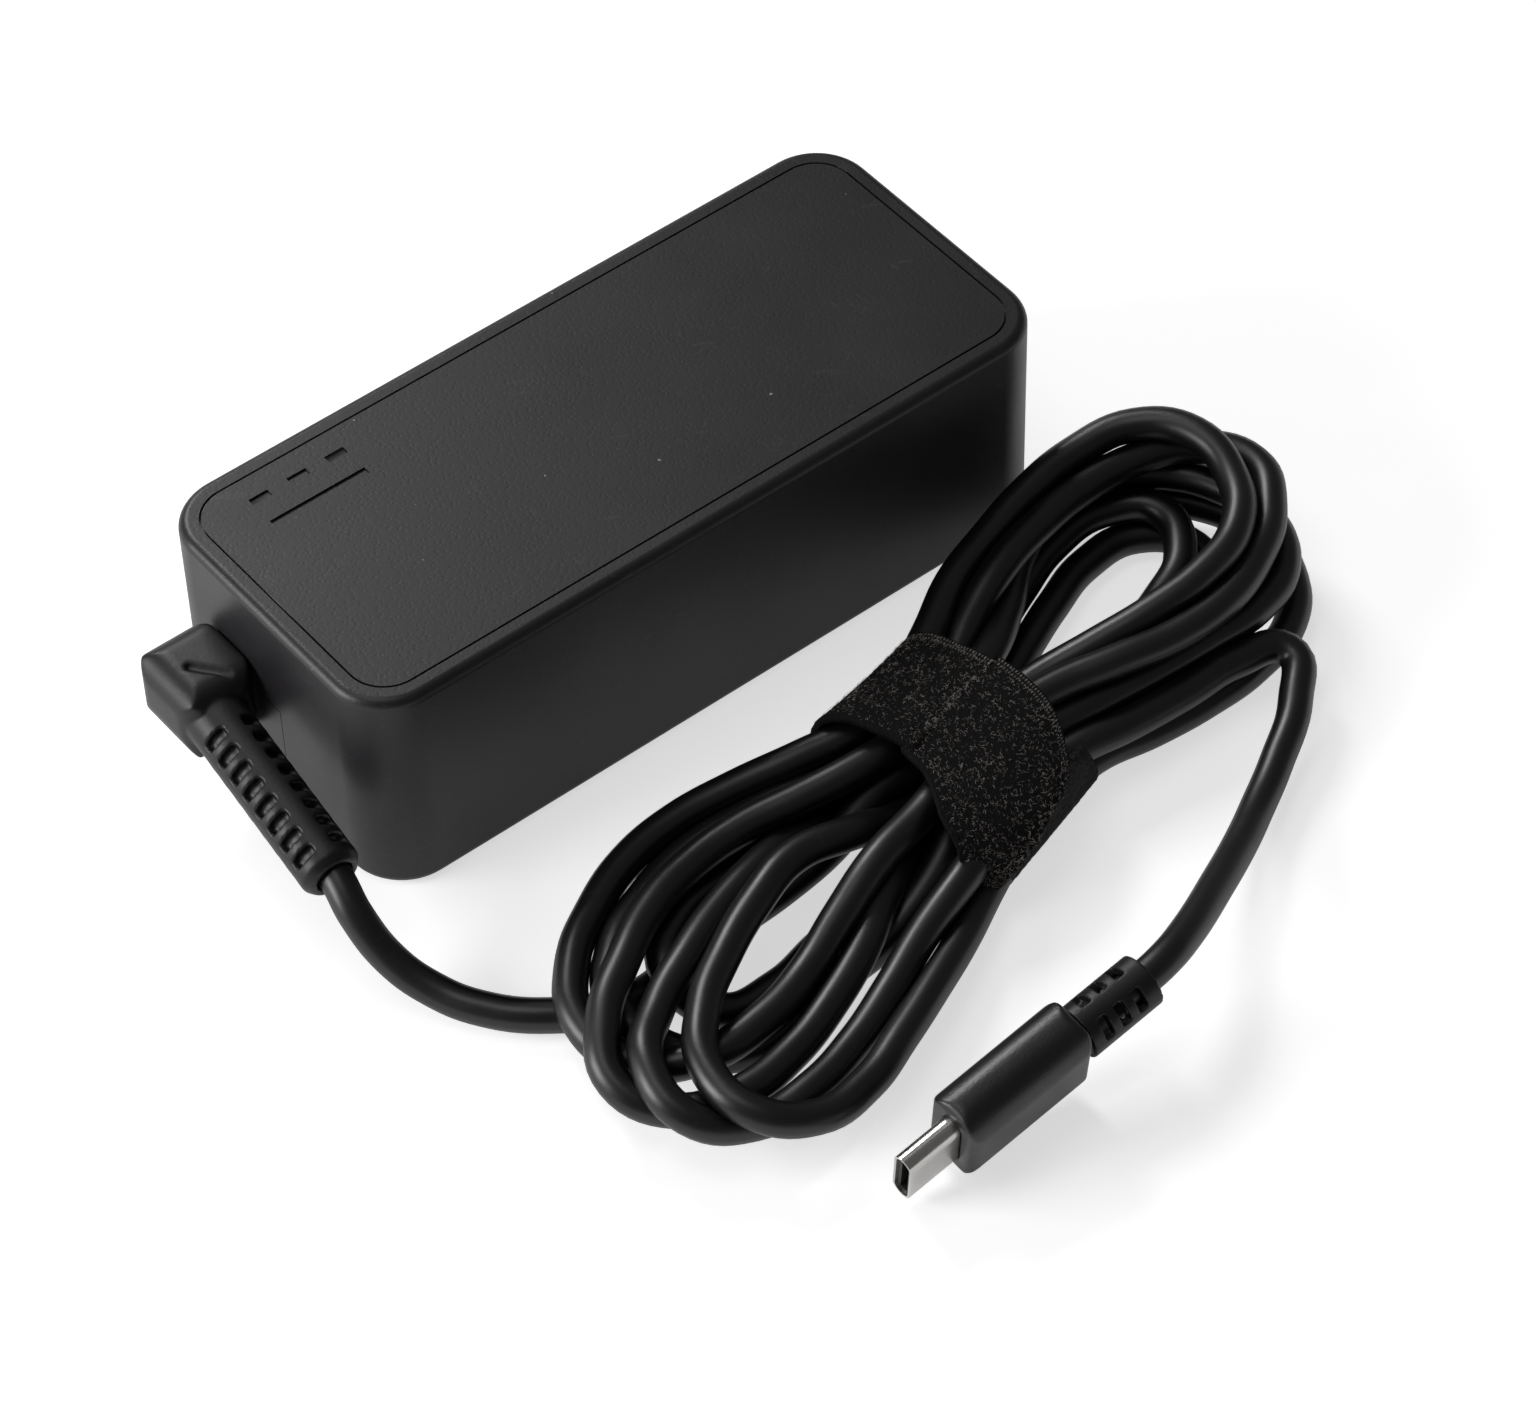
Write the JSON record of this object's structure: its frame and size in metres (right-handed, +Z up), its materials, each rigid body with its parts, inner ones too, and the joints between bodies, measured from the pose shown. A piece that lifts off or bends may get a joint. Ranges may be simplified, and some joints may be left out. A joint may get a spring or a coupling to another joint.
{
  "type": "laptop power adapter",
  "caption": "Flat rounded brick power adapter with a right-angle cord boot, a coiled output cord held by a hook-and-loop strap, and a small flat plug.",
  "frame": {"origin": "middle of the case's underside, on the surface the adapter lies on", "axes": "+X along the case from the cord end to the mains inlet, +Y away from the coiled cord, +Z up"},
  "size_m": [0.1194, 0.1095, 0.0295],
  "materials": {
    "case_plastic": "fine-textured black moulded plastic",
    "dark_component": "black moulded component",
    "pin_metal": "nickel-plated round pins",
    "board_laminate": "green circuit laminate",
    "film_capacitor": "yellow film capacitor case",
    "coated_core": "green epoxy-coated ring",
    "copper_wire": "enamelled copper winding",
    "capacitor_sleeve": "dark blue shrink sleeve",
    "heatsink_metal": "mill-finish aluminium plate",
    "steel_screw": "zinc-plated steel",
    "ferrite": "grey ferrite",
    "winding_tape": "yellow polyester winding tape",
    "ceramic_capacitor": "blue coated ceramic disc",
    "bare_can": "bare aluminium can",
    "thermal_rubber": "soft thermal pad",
    "insulation": "translucent insulating film",
    "spreader_copper": "thin copper heat spreader",
    "wire_jacket": "insulated hook-up wire",
    "cord_rubber": "satin black cord jacket and overmould",
    "strap_fabric": "black hook-and-loop pile",
    "plug_metal": "nickel-plated stamped metal",
    "contact_metal": "gold-plated contacts"
  },
  "bodies": {
    "adapter": {"case_shell": "case_plastic", "base_plate": "case_plastic", "inlet_body": "dark_component", "inlet_pins": "pin_metal", "main_board": "board_laminate", "fuse": "dark_component", "x_capacitor": "film_capacitor", "choke_core": "coated_core", "choke_windings": "copper_wire", "bridge_rectifier": "dark_component", "bulk_capacitors": "capacitor_sleeve", "primary_heatsink": "heatsink_metal", "primary_switch": "dark_component", "heatsink_screw": "steel_screw", "transformer_core": "ferrite", "transformer_bobbin": "dark_component", "transformer_winding": "winding_tape", "y_capacitor": "ceramic_capacitor", "optocoupler": "dark_component", "control_chips": "dark_component", "output_switch": "dark_component", "output_capacitors": "bare_can", "thermal_pad": "thermal_rubber", "insulation_sheet": "insulation", "heat_spreader": "spreader_copper", "output_wires": "wire_jacket", "cord_boot": "cord_rubber", "cord_lead": "cord_rubber", "cord_hank": "cord_rubber", "cord_tail": "cord_rubber", "cord_strap": "strap_fabric", "plug_relief": "cord_rubber", "plug_body": "case_plastic", "plug_shell": "plug_metal", "plug_liner": "dark_component", "plug_contacts": "contact_metal", "plug_latches": "plug_metal", "plug_board": "board_laminate"}
  },
  "joints": []
}
